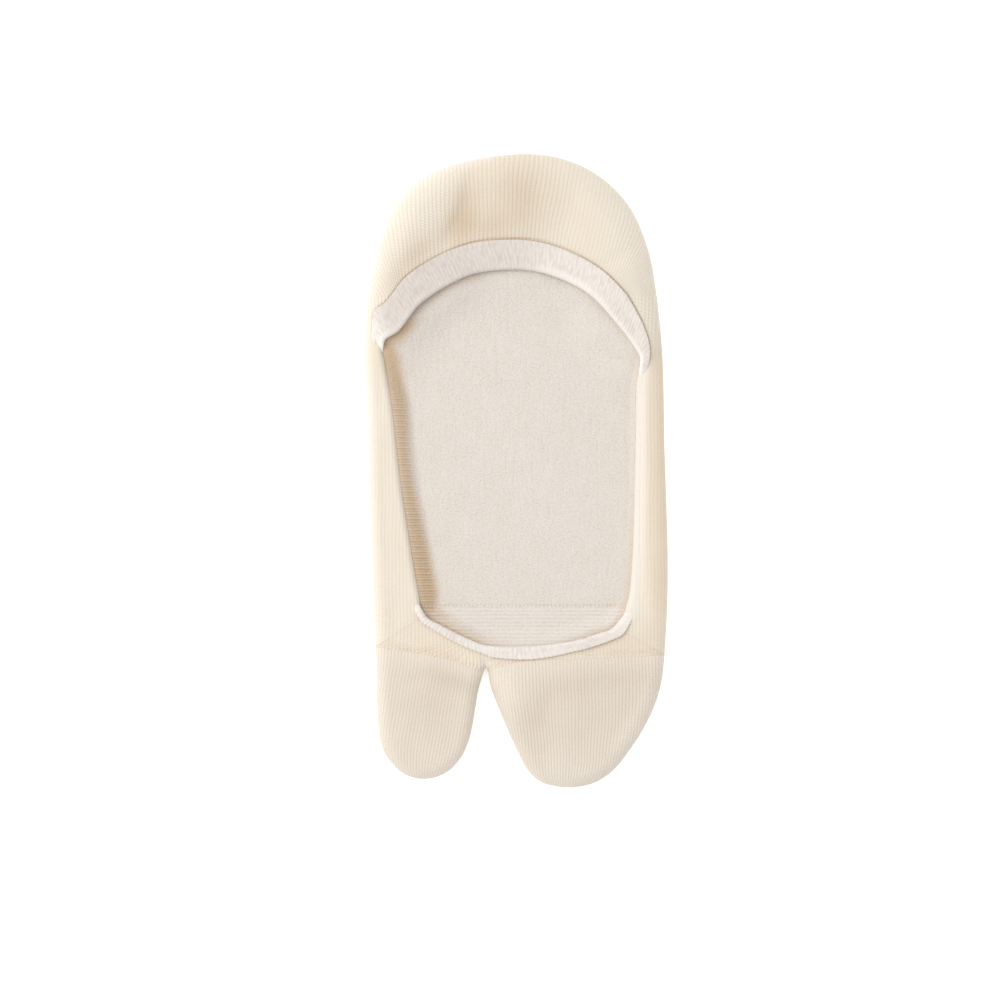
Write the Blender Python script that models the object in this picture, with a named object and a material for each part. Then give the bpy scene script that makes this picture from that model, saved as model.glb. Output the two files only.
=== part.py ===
# A split-toe (tabi) no-show sock for a left foot, lying on its flat sole: heel at +Y, toes at -Y,
# big toe at -X. All sizes below are millimetres, turned to metres when a mesh is made.
#
# The cloth is read as two sheets that meet in a fold round the sock's outline: a flat sole sheet,
# and an upper sheet whose height depends on the distance to the outline. Columns run from the mouth's
# rim out to the outline and back under the sole, and a Solidify modifier gives the cloth its wall.

import bpy
import numpy as np

MM = 0.001
WALL = 1.4  # cloth thickness
SEAM_GAP = 0.35  # between pieces that are linked together
WELT_GAP = 0.3  # between the turned welt and the cloth it lies on

# The fold round the outline: its widest line, and how far the under and upper curves reach inwards
FOLD_Z = 2.7
UNDER_REACH = 2.7
SIDE_FOLD = {"reach": 4.2, "top": 6.3, "climb": 0.04}
HEEL_FOLD = {"reach": 10.0, "top": 8.9, "climb": -0.02}
HEEL_FROM, HEEL_TO = 22.0, 66.0  # Y range over which the side's fold becomes the heel's
CLIMB_EASE = 4.0

CURL_RADIUS = 2.1  # the sides' rim curls inwards and under, on its outer surface
CURL_UNDER = 100.0  # degrees past the innermost line
CURL_FADE = 0.9  # stations over which the curl dies out next to a welt

# Sections round the mouth, clockwise from the back of the heel: where the section meets the outline
# (or the toe seam), where it meets the mouth's rim, how wide the turned-out welt is there, and how
# many columns lead to the next section, crowded towards its start (1) or its end (-1).
SECTION_COLUMNS = ("edge_x", "edge_y", "rim_x", "rim_y", "welt", "steps", "crowd")
SECTIONS = (
    (-1.1, 100.0, -0.8, 64.4, 8.5, 3, 0),
    (13.8, 98.8, 7.8, 63.6, 8.2, 3, 0),
    (26.4, 92.9, 16.3, 60.6, 7.8, 3, 0),
    (35.9, 83.1, 24.2, 55.5, 7.9, 3, 0),
    (41.6, 69.9, 30.9, 47.8, 8.6, 3, 0),
    (44.1, 56.6, 36.6, 40.2, 7.0, 3, 0),
    (45.7, 42.1, 39.6, 35.1, 2.8, 3, 0),
    (46.4, 28.8, 38.3, 27.2, 0.0, 3, 0),
    (46.7, 9.8, 38.2, 9.8, 0.0, 3, 0),
    (47.3, -9.2, 37.7, -9.2, 0.0, 3, 0),
    (47.8, -28.2, 36.5, -27.5, 0.0, 3, 0),
    (47.6, -42.7, 35.0, -40.8, 0.0, 3, 0),
    (46.8, -57.9, 30.9, -48.9, 1.8, 6, 1),
    (37.8, -58.5, 25.5, -51.3, 2.6, 2, 0),
    (25.8, -59.0, 17.6, -53.6, 3.1, 2, 0),
    (12.5, -59.5, 9.0, -54.8, 3.2, 2, 0),
    (-0.2, -60.3, 0.5, -55.4, 3.2, 5, -1),
    (-9.0, -63.1, -5.9, -55.3, 3.0, 2, 0),
    (-9.7, -62.0, -8.7, -55.0, 2.9, 2, 0),
    (-10.3, -63.1, -11.6, -54.4, 2.8, 5, 1),
    (-20.4, -59.7, -17.2, -52.0, 2.5, 2, 0),
    (-32.4, -57.3, -23.6, -48.7, 2.0, 6, -1),
    (-44.5, -55.4, -28.8, -45.3, 1.4, 3, 0),
    (-45.4, -39.6, -31.0, -37.7, 0.0, 3, 0),
    (-46.0, -21.8, -33.7, -21.8, 0.0, 3, 0),
    (-46.7, -2.8, -36.6, -2.8, 0.0, 3, 0),
    (-47.0, 19.3, -39.0, 18.7, 0.0, 3, 0),
    (-47.9, 34.5, -41.5, 33.9, 0.0, 3, 0),
    (-47.6, 48.4, -42.2, 41.3, 5.0, 3, 0),
    (-45.7, 62.0, -37.3, 45.1, 8.7, 3, 0),
    (-41.9, 76.6, -30.9, 53.2, 8.7, 3, 0),
    (-34.3, 88.9, -22.3, 59.0, 8.7, 3, 0),
    (-21.0, 96.5, -12.2, 63.1, 8.8, 3, 0),
)
RIGHT_CORNER, CROTCH_RIGHT, CROTCH_LEFT, LEFT_CORNER = 12, 17, 19, 22  # rows of SECTIONS

# Outlines of the toe pockets, from the sock's side round the tip to the crotch
BIG_TOE = (
    (-44.5, -55.4), (-44.1, -64.6), (-44.1, -72.5), (-43.8, -79.4), (-43.0, -85.4), (-41.0, -90.2),
    (-37.2, -94.6), (-33.1, -96.7), (-29.0, -97.3), (-24.8, -96.5), (-21.2, -94.6), (-18.2, -91.5),
    (-16.0, -87.7), (-14.2, -82.0), (-13.0, -75.0), (-11.9, -68.7), (-10.3, -63.1),
)
FOUR_TOES = (
    (46.8, -57.9), (46.0, -65.5), (44.1, -72.8), (40.7, -80.4), (36.1, -87.7), (30.9, -94.3),
    (25.5, -98.1), (21.0, -99.5), (16.6, -100.0), (11.9, -99.5), (7.4, -98.1), (3.6, -94.6),
    (0.3, -88.6), (-2.7, -82.0), (-5.9, -74.4), (-8.1, -68.4), (-9.0, -63.1),
)

# The largest dents and swells of the upper sheet: centre, direction in degrees from +X, half length,
# half width, and depth (negative for a swell)
DENT_COLUMNS = ("x", "y", "turn", "length", "width", "depth")
DENTS = (
    (-18.0, 82.0, 68.0, 15.0, 6.0, 1.4),
    (-28.0, 68.0, 40.0, 10.0, 5.0, 0.8),
    (-33.0, 80.0, 55.0, 13.0, 6.0, -0.7),
    (27.0, 76.0, 125.0, 13.0, 8.0, -0.6),
    (8.0, -74.0, 80.0, 10.0, 7.0, 0.6),
    (-24.0, -76.0, 95.0, 13.0, 7.0, 0.5),
)

SPINE_TOP, SPINE_BOTTOM = 62.0, -42.0  # the sole's rows close on this line down its middle
CURL_ROWS, UPPER_ROWS, FOLD_ROWS = 4, 5, 4
SOLE_SHARES = (0.45, 0.8)  # how far the sole's rows have gone from the fold to the spine
POCKET_ACROSS, POCKET_ALONG = 14, 12

CREAM = (0.80, 0.70, 0.56, 1.0)
PALE_CREAM = (0.80, 0.74, 0.66, 1.0)


def ease(share):
    share = np.clip(share, 0.0, 1.0)
    return share * share * (3.0 - 2.0 * share)


def curve_through(points, at, closed=False):
    """A Catmull-Rom curve read at fractional point numbers."""
    points = np.asarray(points, float)
    count = len(points)
    if closed:
        padded = np.vstack([points[-1:], points, points[:2]])
    else:
        padded = np.vstack([2 * points[0] - points[1], points, 2 * points[-1] - points[-2]])
    at = np.asarray(at, float) % count if closed else np.clip(at, 0, count - 1)
    start = np.minimum(at.astype(int), count - 1 if closed else count - 2)
    t = (at - start)[:, None]
    a, b, c, d = (padded[start + step] for step in range(4))
    return 0.5 * (2 * b + (c - a) * t + (2 * a - 5 * b + 4 * c - d) * t**2 + (3 * b - a - 3 * c + d) * t**3)


def section_column(name):
    return np.array([row[SECTION_COLUMNS.index(name)] for row in SECTIONS])


EDGE = np.stack([section_column("edge_x"), section_column("edge_y")], axis=1)
RIM = np.stack([section_column("rim_x"), section_column("rim_y")], axis=1)
COUNT = len(SECTIONS)


def edge_at(station):
    """The outline or toe seam at these stations. It has a corner at each end of the seam and the crotch."""
    station = np.asarray(station, float) % COUNT
    side = np.vstack([EDGE[LEFT_CORNER:], EDGE[: RIGHT_CORNER + 1]])
    found = curve_through(side, (station - LEFT_CORNER) % COUNT)
    corners = (RIGHT_CORNER, CROTCH_RIGHT, CROTCH_LEFT, LEFT_CORNER)
    for first, last in zip(corners, corners[1:]):
        here = (station >= first) & (station <= last)
        found[here] = curve_through(EDGE[first : last + 1], station[here] - first)
    return found


def column_stations():
    """Station number of every column, and whether its sheets part at the seam rather than fold."""
    stations = []
    for number, row in enumerate(SECTIONS):
        steps, crowd = row[5], row[6]
        share = np.arange(steps) / steps
        if crowd > 0:
            share = share**2
        elif crowd < 0:
            share = 1 - (1 - share) ** 2
        stations.extend(number + share)
    stations = np.array(stations)
    right = (stations > RIGHT_CORNER) & (stations < CROTCH_RIGHT)
    left = (stations > CROTCH_LEFT) & (stations < LEFT_CORNER)
    return stations, right | left


def whole_outline():
    """The sock's outline as a fine closed polyline, toe pockets and crotch included."""
    side = edge_at(np.linspace(LEFT_CORNER, COUNT + RIGHT_CORNER, 400))
    crotch = curve_through(EDGE[CROTCH_RIGHT : CROTCH_LEFT + 1], np.linspace(0, 2, 9))
    four = curve_through(FOUR_TOES, np.linspace(0, len(FOUR_TOES) - 1, 200))
    big = curve_through(BIG_TOE, np.linspace(0, len(BIG_TOE) - 1, 200))
    return np.vstack([side, four[1:], crotch[1:-1], big[::-1][:-1]])


OUTLINE = whole_outline()


def distance_to_outline(points):
    """Shortest plan distance from each point to the outline."""
    flat = points.reshape(-1, 1, 2)
    start = OUTLINE[None]
    along = np.roll(OUTLINE, -1, axis=0)[None] - start
    share = ((flat - start) * along).sum(-1) / np.maximum((along**2).sum(-1), 1e-12)
    nearest = start + np.clip(share, 0, 1)[..., None] * along
    return np.sqrt(((flat - nearest) ** 2).sum(-1)).min(axis=1).reshape(points.shape[:-1])


def quarter(distance, reach):
    """Height share of a quarter ellipse that starts upright at the outline and ends level."""
    return np.sqrt(1 - (1 - np.clip(distance / reach, 0, 1)) ** 2)


def upper_height(points, distance):
    share = ease((points[..., 1] - HEEL_FROM) / (HEEL_TO - HEEL_FROM))
    fold = {key: SIDE_FOLD[key] + (HEEL_FOLD[key] - SIDE_FOLD[key]) * share for key in SIDE_FOLD}
    reach, top = fold["reach"], fold["top"]
    past = np.maximum(distance - reach, 0)
    level = quarter(distance, reach)
    height = FOLD_Z + (top - FOLD_Z) * level + fold["climb"] * past**2 / (past + CLIMB_EASE)
    for row in DENTS:
        dent = dict(zip(DENT_COLUMNS, row))
        turn = np.radians(dent["turn"])
        dx, dy = points[..., 0] - dent["x"], points[..., 1] - dent["y"]
        along = (dx * np.cos(turn) + dy * np.sin(turn)) / dent["length"]
        across = (dy * np.cos(turn) - dx * np.sin(turn)) / dent["width"]
        height = height - dent["depth"] * np.exp(-(along**2) - across**2) * level**2
    return height


def under_height(distance):
    return FOLD_Z * (1 - quarter(distance, UNDER_REACH))


def lifted(plan, height):
    return np.concatenate([plan, height[..., None]], axis=-1)


def welt_width(station):
    welt = section_column("welt")
    return float(np.interp(station % COUNT, np.arange(COUNT + 1), np.append(welt, welt[0])))


def welt_ranges():
    """First and last station of the heel's welt and of the front's."""
    welt = section_column("welt")
    rows = np.flatnonzero(welt > 0)
    front = rows[(rows >= RIGHT_CORNER) & (rows <= LEFT_CORNER)]
    return (rows[rows > LEFT_CORNER][0], COUNT + rows[rows < RIGHT_CORNER][-1]), (front[0], front[-1])


def curl_share(stations):
    """1 where the rim curls under, 0 where a welt turns out, easing between them past the welt's ends."""
    share = np.ones_like(stations)
    for first, last in welt_ranges():
        for turn in (-COUNT, 0, COUNT):
            middle, half = (first + last) / 2 + turn, (last - first) / 2
            share = np.minimum(share, ease((np.abs(stations - middle) - half) / CURL_FADE))
    return share


def upper_point(stations, inwards):
    """Point of the upper sheet this far in from the outline along each column."""
    edge, rim = edge_at(stations), curve_through(RIM, stations, closed=True)
    length = np.linalg.norm(rim - edge, axis=1)
    plan = edge + (rim - edge) * (inwards / length)[:, None]
    return lifted(plan, upper_height(plan, distance_to_outline(plan))), (rim - edge) / length[:, None], length


def foot_grids():
    """Upper grid (rim to outline) and under grid (outline to spine), rows first."""
    stations, parted = column_stations()
    edge, rim = edge_at(stations), curve_through(RIM, stations, closed=True)
    reach = np.linalg.norm(rim - edge, axis=1)
    curl = curl_share(stations)
    cut = (1 - curl) * (WALL + WELT_GAP / 2 + SEAM_GAP)
    turn_start = reach - CURL_RADIUS - 0.1
    upper = []
    shoulder, inward, _ = upper_point(stations, turn_start)
    for row in range(CURL_ROWS):
        # From the curl's hidden end up to its top; where there is no curl, level towards the cut edge
        share = 1 - row / CURL_ROWS
        angle = np.radians(90 - (90 + CURL_UNDER) * share)
        curled = shoulder.copy()
        curled[:, :2] += inward * (CURL_RADIUS * np.cos(angle))
        curled[:, 2] += CURL_RADIUS * (np.sin(angle) - 1)
        level, _, _ = upper_point(stations, turn_start + (reach - cut - turn_start) * share)
        upper.append(level + (curled - level) * curl[:, None])
    bend = np.minimum(SIDE_FOLD["reach"] + 0.8, 0.75 * turn_start)
    for row in range(UPPER_ROWS):
        upper.append(upper_point(stations, turn_start + (bend - turn_start) * row / UPPER_ROWS)[0])
    for row in range(FOLD_ROWS + 1):
        angle = np.radians(90 * (1 - row / FOLD_ROWS))
        upper.append(upper_point(stations, bend * (1 - np.cos(angle)))[0])
    upper[-1][~parted, 2] = FOLD_Z
    under = []
    for row in range(FOLD_ROWS + 1):
        inwards = (UNDER_REACH + 0.3) * (1 - np.cos(np.radians(90 * row / FOLD_ROWS)))
        plan = edge + (rim - edge) * (inwards / reach)[:, None]
        under.append(lifted(plan, under_height(distance_to_outline(plan))))
    under[0][~parted, 2] = FOLD_Z
    under[-1][:, 2] = 0
    spine = np.stack([np.zeros(len(edge)), np.clip(edge[:, 1], SPINE_BOTTOM, SPINE_TOP)], axis=1)
    for share in SOLE_SHARES:
        plan = under[FOLD_ROWS][:, :2] + (spine - under[FOLD_ROWS][:, :2]) * share
        under.append(lifted(plan, under_height(distance_to_outline(plan))))
    return np.array(upper), np.array(under)


def seam_y(x):
    """Y of the toe seam at this X, on either side of the crotch."""
    right = edge_at(np.linspace(RIGHT_CORNER, CROTCH_RIGHT, 60))
    left = edge_at(np.linspace(CROTCH_LEFT, LEFT_CORNER, 60))
    seam = np.vstack([right, left])[::-1]
    return np.interp(x, seam[:, 0], seam[:, 1])


def pocket_grids(outline):
    """Upper and under grids of a toe pocket, rows from the seam to the tip, columns from side to side."""
    fine = curve_through(outline, np.linspace(0, len(outline) - 1, 500))
    tip = int(np.argmin(fine[:, 1]))
    one, other = fine[: tip + 1][::-1], fine[tip:]
    west, east = (one, other) if one[-1, 0] < other[-1, 0] else (other, one)
    across = 0.5 * (1 - np.cos(np.pi * np.arange(POCKET_ACROSS + 1) / POCKET_ACROSS))
    low = fine[tip, 1]

    def spread(y):
        left = np.interp(y, west[:, 1], west[:, 0])
        return left + (np.interp(y, east[:, 1], east[:, 0]) - left) * across

    root = np.full(len(across), west[-1, 1])
    for _ in range(6):
        root = seam_y(spread(root)) - SEAM_GAP
    rows = []
    for row in range(POCKET_ALONG + 1):
        share = np.sin(np.radians(90 * row / POCKET_ALONG))
        y = root + (low - root) * share
        rows.append(np.stack([spread(y), y], axis=1))
    plan = np.array(rows)
    plan[-1, :, 0] = fine[tip, 0]
    distance = distance_to_outline(plan)
    upper = lifted(plan, upper_height(plan, distance))
    under = lifted(plan, under_height(distance))
    for grid in (upper, under):
        grid[:, 0, 2] = grid[:, -1, 2] = grid[-1, :, 2] = FOLD_Z
    under[:, 1:-1, 2] = np.where(distance[:, 1:-1] > UNDER_REACH, 0, under[:, 1:-1, 2])
    return upper, under


def grid_faces(rows, columns, first=0, closed=False):
    """Quads of a grid of points, counted from point number first."""
    faces = []
    for row in range(rows - 1):
        for column in range(columns if closed else columns - 1):
            a = first + row * columns + column
            b = first + row * columns + (column + 1) % columns
            faces.append((a, b, b + columns, a + columns))
    return faces


def add_piece(name, points, faces, material, wall=0.0):
    """A named object from points in millimetres, welded, facing out, with its wall grown inwards."""
    mesh = bpy.data.meshes.new(name)
    mesh.from_pydata((np.asarray(points) * MM).tolist(), [], faces)
    mesh.update()
    piece = bpy.data.objects.new(name, mesh)
    bpy.context.collection.objects.link(piece)
    weld = piece.modifiers.new("weld", "WELD")
    weld.merge_threshold = 1e-6
    if wall:
        solid = piece.modifiers.new("wall", "SOLIDIFY")
        solid.thickness = wall * MM
        solid.offset = -1
        solid.use_quality_normals = True
    mesh.materials.append(material)
    mesh.shade_smooth()
    mesh.set_sharp_from_angle(angle=np.radians(50))
    return piece


def knit(name, colour, roughness):
    material = bpy.data.materials.new(name)
    material.use_nodes = True
    shader = material.node_tree.nodes["Principled BSDF"]
    shader.inputs["Base Color"].default_value = colour
    shader.inputs["Roughness"].default_value = roughness
    shader.inputs["Metallic"].default_value = 0.0
    material.diffuse_color = colour
    return material


def build_foot(material):
    upper, under = foot_grids()
    columns = upper.shape[1]
    points = np.vstack([upper.reshape(-1, 3), under.reshape(-1, 3)])
    faces = grid_faces(len(upper), columns, closed=True)
    first = len(upper) * columns
    faces += grid_faces(len(under), columns, first, closed=True)
    last = first + (len(under) - 1) * columns
    faces.append(tuple(range(last, last + columns)))
    return add_piece("foot_body", points, faces, material, WALL)


def build_pocket(name, outline, material):
    upper, under = pocket_grids(outline)
    rows, columns = upper.shape[:2]
    points = np.vstack([upper.reshape(-1, 3), under.reshape(-1, 3)])
    faces = [face[::-1] for face in grid_faces(rows, columns)]
    faces += grid_faces(rows, columns, rows * columns)
    return add_piece(name, points, faces, material, WALL)


def welt_section(width):
    """Closed section of a turned welt as (distance from the rim, height off the cloth): it carries the
    cloth's wall round a bend and lays it back on the cloth."""
    middle = WELT_GAP / 2
    outer = WALL + middle
    bend = np.radians(np.linspace(-90, -270, 6))
    ring = [(outer + outer * np.cos(a), middle + outer * np.sin(a)) for a in bend]
    top = [(outer + (width - outer) * share, middle + outer) for share in (0.35, 0.7)]
    end = [(width - 0.35, middle + outer), (width, middle + outer * 0.6), (width - 0.1, WELT_GAP)]
    back = [(outer + (width - outer) * share, WELT_GAP) for share in (0.7, 0.35)]
    inside = [(outer + middle * np.cos(a), middle + middle * np.sin(a)) for a in bend[::-1]]
    return np.array(ring + top + end + back + inside)


def build_welt(name, first, last, material):
    """A strip along the rim between two stations, every point moved out from the cloth beneath it."""
    stations, _ = column_stations()
    around = np.concatenate([stations - COUNT, stations, stations + COUNT])
    around = around[(around >= first) & (around <= last)]
    around = around[np.concatenate([[True], np.diff(around) > 0.15])]
    outer = WALL + WELT_GAP / 2
    loops = []
    for station in around:
        section = welt_section(max(welt_width(station), outer + 0.6))
        here = np.full(len(section), station)
        reach = np.linalg.norm(curve_through(RIM, here, closed=True) - edge_at(here), axis=1)
        on_cloth = np.maximum(section[:, 0], outer)
        base, inward, _ = upper_point(here, reach - on_cloth)
        ahead, _, _ = upper_point(here, reach - on_cloth + 0.2)
        slope = (ahead - base) / np.linalg.norm(ahead - base, axis=1)[:, None]
        side = np.stack([inward[:, 1], -inward[:, 0], np.zeros(len(inward))], axis=1)
        out = np.cross(side, slope)
        loops.append(base + slope * (on_cloth - section[:, 0])[:, None] + out * section[:, 1][:, None])
    loops = np.array(loops)
    rows, columns = loops.shape[:2]
    faces = [face[::-1] for face in grid_faces(rows, columns, closed=True)]
    faces.append(tuple(range(columns)))
    faces.append(tuple(range((rows - 1) * columns, rows * columns))[::-1])
    return add_piece(name, loops.reshape(-1, 3), faces, material)


def main():
    for thing in list(bpy.data.objects):
        bpy.data.objects.remove(thing, do_unlink=True)
    outer_knit = knit("cream_cotton_knit", CREAM, 0.95)
    toe_knit = knit("cream_toe_knit", CREAM, 0.95)
    welt_knit = knit("pale_elastic_welt", PALE_CREAM, 0.9)
    build_foot(outer_knit)
    build_pocket("big_toe_pocket", BIG_TOE, toe_knit)
    build_pocket("four_toe_pocket", FOUR_TOES, toe_knit)
    heel, front = welt_ranges()
    build_welt("heel_welt", heel[0], heel[1], welt_knit)
    build_welt("front_welt", front[0], front[1], welt_knit)


main()
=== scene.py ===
import bpy
import bmesh
import numpy as np
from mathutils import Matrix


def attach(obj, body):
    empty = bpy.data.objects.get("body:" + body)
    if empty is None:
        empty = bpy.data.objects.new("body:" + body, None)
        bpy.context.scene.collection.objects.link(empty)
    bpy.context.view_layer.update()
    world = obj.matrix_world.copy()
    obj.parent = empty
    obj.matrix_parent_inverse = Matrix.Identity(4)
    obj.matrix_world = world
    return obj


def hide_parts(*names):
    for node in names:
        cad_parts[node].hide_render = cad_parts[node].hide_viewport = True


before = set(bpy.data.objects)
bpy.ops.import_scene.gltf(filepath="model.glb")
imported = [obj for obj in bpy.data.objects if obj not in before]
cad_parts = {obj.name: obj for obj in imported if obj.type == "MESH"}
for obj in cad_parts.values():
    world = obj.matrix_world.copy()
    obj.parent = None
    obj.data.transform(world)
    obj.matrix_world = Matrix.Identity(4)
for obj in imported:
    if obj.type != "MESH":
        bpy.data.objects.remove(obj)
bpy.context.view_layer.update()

# A split-toe no-show sock for a left foot, knitted in cream cotton and lying on its sole, heel at +Y,
# toes at -Y. Lengths are millimetres until a mesh is made.
mm = 0.001
seed = np.random.default_rng(58)

# The whole sock's cloth and the fold that goes round its outline
cloth = {
    "wall": 1.4,
    "foldHeight": 2.7,
    "underReach": 2.7,  # how far the fold's underside curves in before it lies on the floor
    "underOverlap": 0.7,
    "side": (4.2, 6.3, 0.04),  # the fold's reach, top and climb at the sides
    "heel": (8.5, 9.1, -0.01),  # and round the heel
    "heelFrom": 22.0,  # y over which the one goes over to the other
    "heelTo": 66.0,
    "climbEase": 4.0,
    "rightReach": 3.2,  # the right side slopes over more of its width
    "rightDrop": 1.4,  # and its rim lies lower
    "rimDrop": 3.4,  # the heel's rim sinks towards the insole
    "rimDropFrom": 9.0,
    "rimDropOver": 26.0,
    "curlRadius": 1.75,  # the sides' rolled rim
    "curlUnder": 93.0,  # degrees that it rolls on past its innermost line
    "turnedOut": ((28.0, 39.0), (12.0, 22.0)),  # stations where the edge is turned out and nothing rolls
    "curlFade": 0.9,  # stations over which the roll dies out next to them
    "cutBack": 1.65,  # how far the cloth stops short of a turned edge's rim
}

# Sections round the mouth, clockwise from the back of the heel: edgeX, edgeY, rimX, rimY. A station
# is a section's number, or a place between two of them.
sections = np.array((
    (-1.1, 100.0, -0.8, 64.4), (13.8, 98.8, 7.8, 63.6), (26.4, 92.9, 16.3, 60.6),
    (35.9, 83.1, 24.2, 55.5), (41.6, 69.9, 30.9, 47.8), (44.1, 56.6, 36.6, 40.2),
    (45.7, 42.1, 39.2, 35.1), (46.4, 28.8, 37.8, 27.2), (46.7, 9.8, 37.5, 9.8), (47.3, -9.2, 37.1, -9.2),
    (47.8, -28.2, 36.5, -27.5), (47.6, -42.7, 35.1, -40.8), (46.8, -57.9, 30.9, -48.9),
    (37.8, -58.5, 25.5, -51.3), (25.8, -59.0, 17.6, -53.6), (12.5, -59.5, 9.0, -54.8),
    (-0.2, -60.3, 0.5, -55.4), (-9.0, -63.1, -5.9, -55.3), (-9.7, -62.0, -8.7, -55.0),
    (-10.3, -63.1, -11.6, -54.4), (-20.4, -59.7, -17.2, -52.0), (-32.4, -57.3, -23.6, -48.7),
    (-44.5, -55.4, -28.8, -45.3), (-45.4, -39.6, -31.0, -37.7), (-46.0, -21.8, -33.7, -21.8),
    (-46.7, -2.8, -36.6, -2.8), (-47.0, 19.3, -39.0, 18.7), (-47.9, 34.5, -41.5, 33.9),
    (-47.6, 48.4, -42.2, 41.3), (-45.7, 62.0, -37.3, 45.1), (-41.9, 76.6, -30.9, 53.2),
    (-34.3, 88.9, -22.3, 59.0), (-21.0, 96.5, -12.2, 63.1),
))
edgePoints, rimPoints = sections[:, :2], sections[:, 2:]
count = len(sections)
rightCorner, crotchRight, crotchLeft, leftCorner = 12, 17, 19, 22

# The toe pockets' outlines, from the sock's side round the tip to the crotch
bigToeOutline = (
    (-44.5, -55.4), (-44.1, -64.6), (-44.1, -72.5), (-43.8, -79.4), (-43.0, -85.4), (-41.0, -90.2),
    (-37.2, -94.6), (-33.1, -96.7), (-29.0, -97.3), (-24.8, -96.5), (-21.2, -94.6), (-18.2, -91.5),
    (-16.0, -87.7), (-14.2, -82.0), (-13.0, -75.0), (-11.9, -68.7), (-10.3, -63.1),
)
fourToesOutline = (
    (46.8, -57.9), (46.0, -65.5), (44.1, -72.8), (40.7, -80.4), (36.1, -87.7), (30.9, -94.3),
    (25.5, -98.1), (21.0, -99.5), (16.6, -100.0), (11.9, -99.5), (7.4, -98.1), (3.6, -94.6), (0.3, -88.6),
    (-2.7, -82.0), (-5.9, -74.4), (-8.1, -68.4), (-9.0, -63.1),
)

# Soft dents and swells of the upper cloth: x, y, direction in degrees, half length, half width, depth
dents = (
    (-16.8, 82.0, 70.0, 15.0, 6.5, 1.15), (-28.0, 68.0, 40.0, 10.0, 5.0, 0.8),
    (-33.0, 80.0, 55.0, 13.0, 6.0, -0.7), (27.0, 76.0, 125.0, 13.0, 8.0, -0.6),
    (8.0, -74.0, 80.0, 10.0, 7.0, 0.6), (-24.0, -76.0, 95.0, 13.0, 7.0, 0.5),
)
# Finer creases, uneven in length, depth and spacing
creases = (
    (-15.5, 88.0, 78.0, 9.0, 2.2, 0.45), (-20.5, 76.0, 62.0, 8.0, 2.0, 0.40),
    (-5.0, 80.0, 96.0, 9.0, 3.0, 0.25), (6.0, 88.0, 85.0, 8.0, 3.2, 0.22),
    (17.0, 84.0, 72.0, 9.0, 3.0, 0.28), (33.0, 68.0, 35.0, 8.0, 2.6, 0.30),
    (-38.0, 66.0, 120.0, 7.0, 2.4, 0.32), (-43.5, 22.0, 86.0, 9.0, 1.6, 0.25),
    (-41.5, -14.0, 93.0, 12.0, 1.5, 0.22), (43.0, 14.0, 92.0, 10.0, 1.7, 0.24),
    (42.5, -20.0, 87.0, 13.0, 1.6, 0.26), (41.0, -44.0, 98.0, 8.0, 2.0, 0.30),
    (-38.5, -46.0, 82.0, 7.0, 2.2, 0.28), (-32.0, -66.0, 20.0, 7.0, 2.4, 0.22),
    (-20.0, -86.0, 100.0, 7.0, 2.4, 0.26), (-36.0, -84.0, 75.0, 8.0, 2.6, -0.22),
    (24.0, -68.0, 8.0, 11.0, 2.6, 0.24), (34.0, -78.0, 62.0, 9.0, 2.4, 0.26),
    (14.0, -90.0, 95.0, 7.0, 3.0, -0.24), (2.0, -70.0, 115.0, 6.0, 2.0, 0.22),
    (42.2, 0.0, 91.0, 34.0, 1.7, 0.35),
)


def ease(share):
    # smooth step from 0 to 1
    share = np.clip(share, 0.0, 1.0)
    return share * share * (3.0 - 2.0 * share)


def rising(value, start, over):
    # 0 up to the start, then a smooth step to 1
    return ease((value - start) / over)


def falling(value, end, over):
    # a smooth step down that reaches 0 at the end
    return ease((end - value) / over)


def bell(value, middle, width):
    # Gaussian, 1 in the middle and 0.37 one width away
    return np.exp(-((value - middle) / width)**2)


def cosine(turns):
    # cosine between 0 and 1, highest at whole numbers of turns
    return 0.5 * (1 + np.cos(2 * np.pi * turns))


def fromTable(at, rows, **beyond):
    # straight lines between a table's rows, level past its ends
    return np.interp(at, *np.array(rows, float).T, **beyond)


def curveThrough(points, at, closed=False):
    # Catmull-Rom curve through the points, read at fractional point numbers
    points = np.asarray(points, float)
    number = len(points)
    if closed:
        padded = np.vstack([points[-1:], points, points[:2]])
    else:
        padded = np.vstack([2 * points[0] - points[1], points, 2 * points[-1] - points[-2]])
    at = np.asarray(at, float) % number if closed else np.clip(at, 0, number - 1)
    start = np.minimum(at.astype(int), number - 1 if closed else number - 2)
    t = (at - start)[..., None]
    a, b, c, d = (padded[start + step] for step in range(4))
    return 0.5 * (2 * b + (c - a) * t + (2 * a - 5 * b + 4 * c - d) * t**2 + (3 * b - a - 3 * c + d) * t**3)


def edgeAt(station):
    # the outline or toe seam, with a corner at each end of the seam and at the crotch
    station = np.asarray(station, float) % count
    side = np.vstack([edgePoints[leftCorner:], edgePoints[:rightCorner + 1]])
    found = curveThrough(side, (station - leftCorner) % count)
    corners = (rightCorner, crotchRight, crotchLeft, leftCorner)
    for first, last in zip(corners, corners[1:]):
        here = (station >= first) & (station <= last)
        found[here] = curveThrough(edgePoints[first:last + 1], station[here] - first)
    return found


def rimAt(station):
    # the mouth's rim, a closed curve through the sections' rim points
    return curveThrough(rimPoints, station, closed=True)


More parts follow.
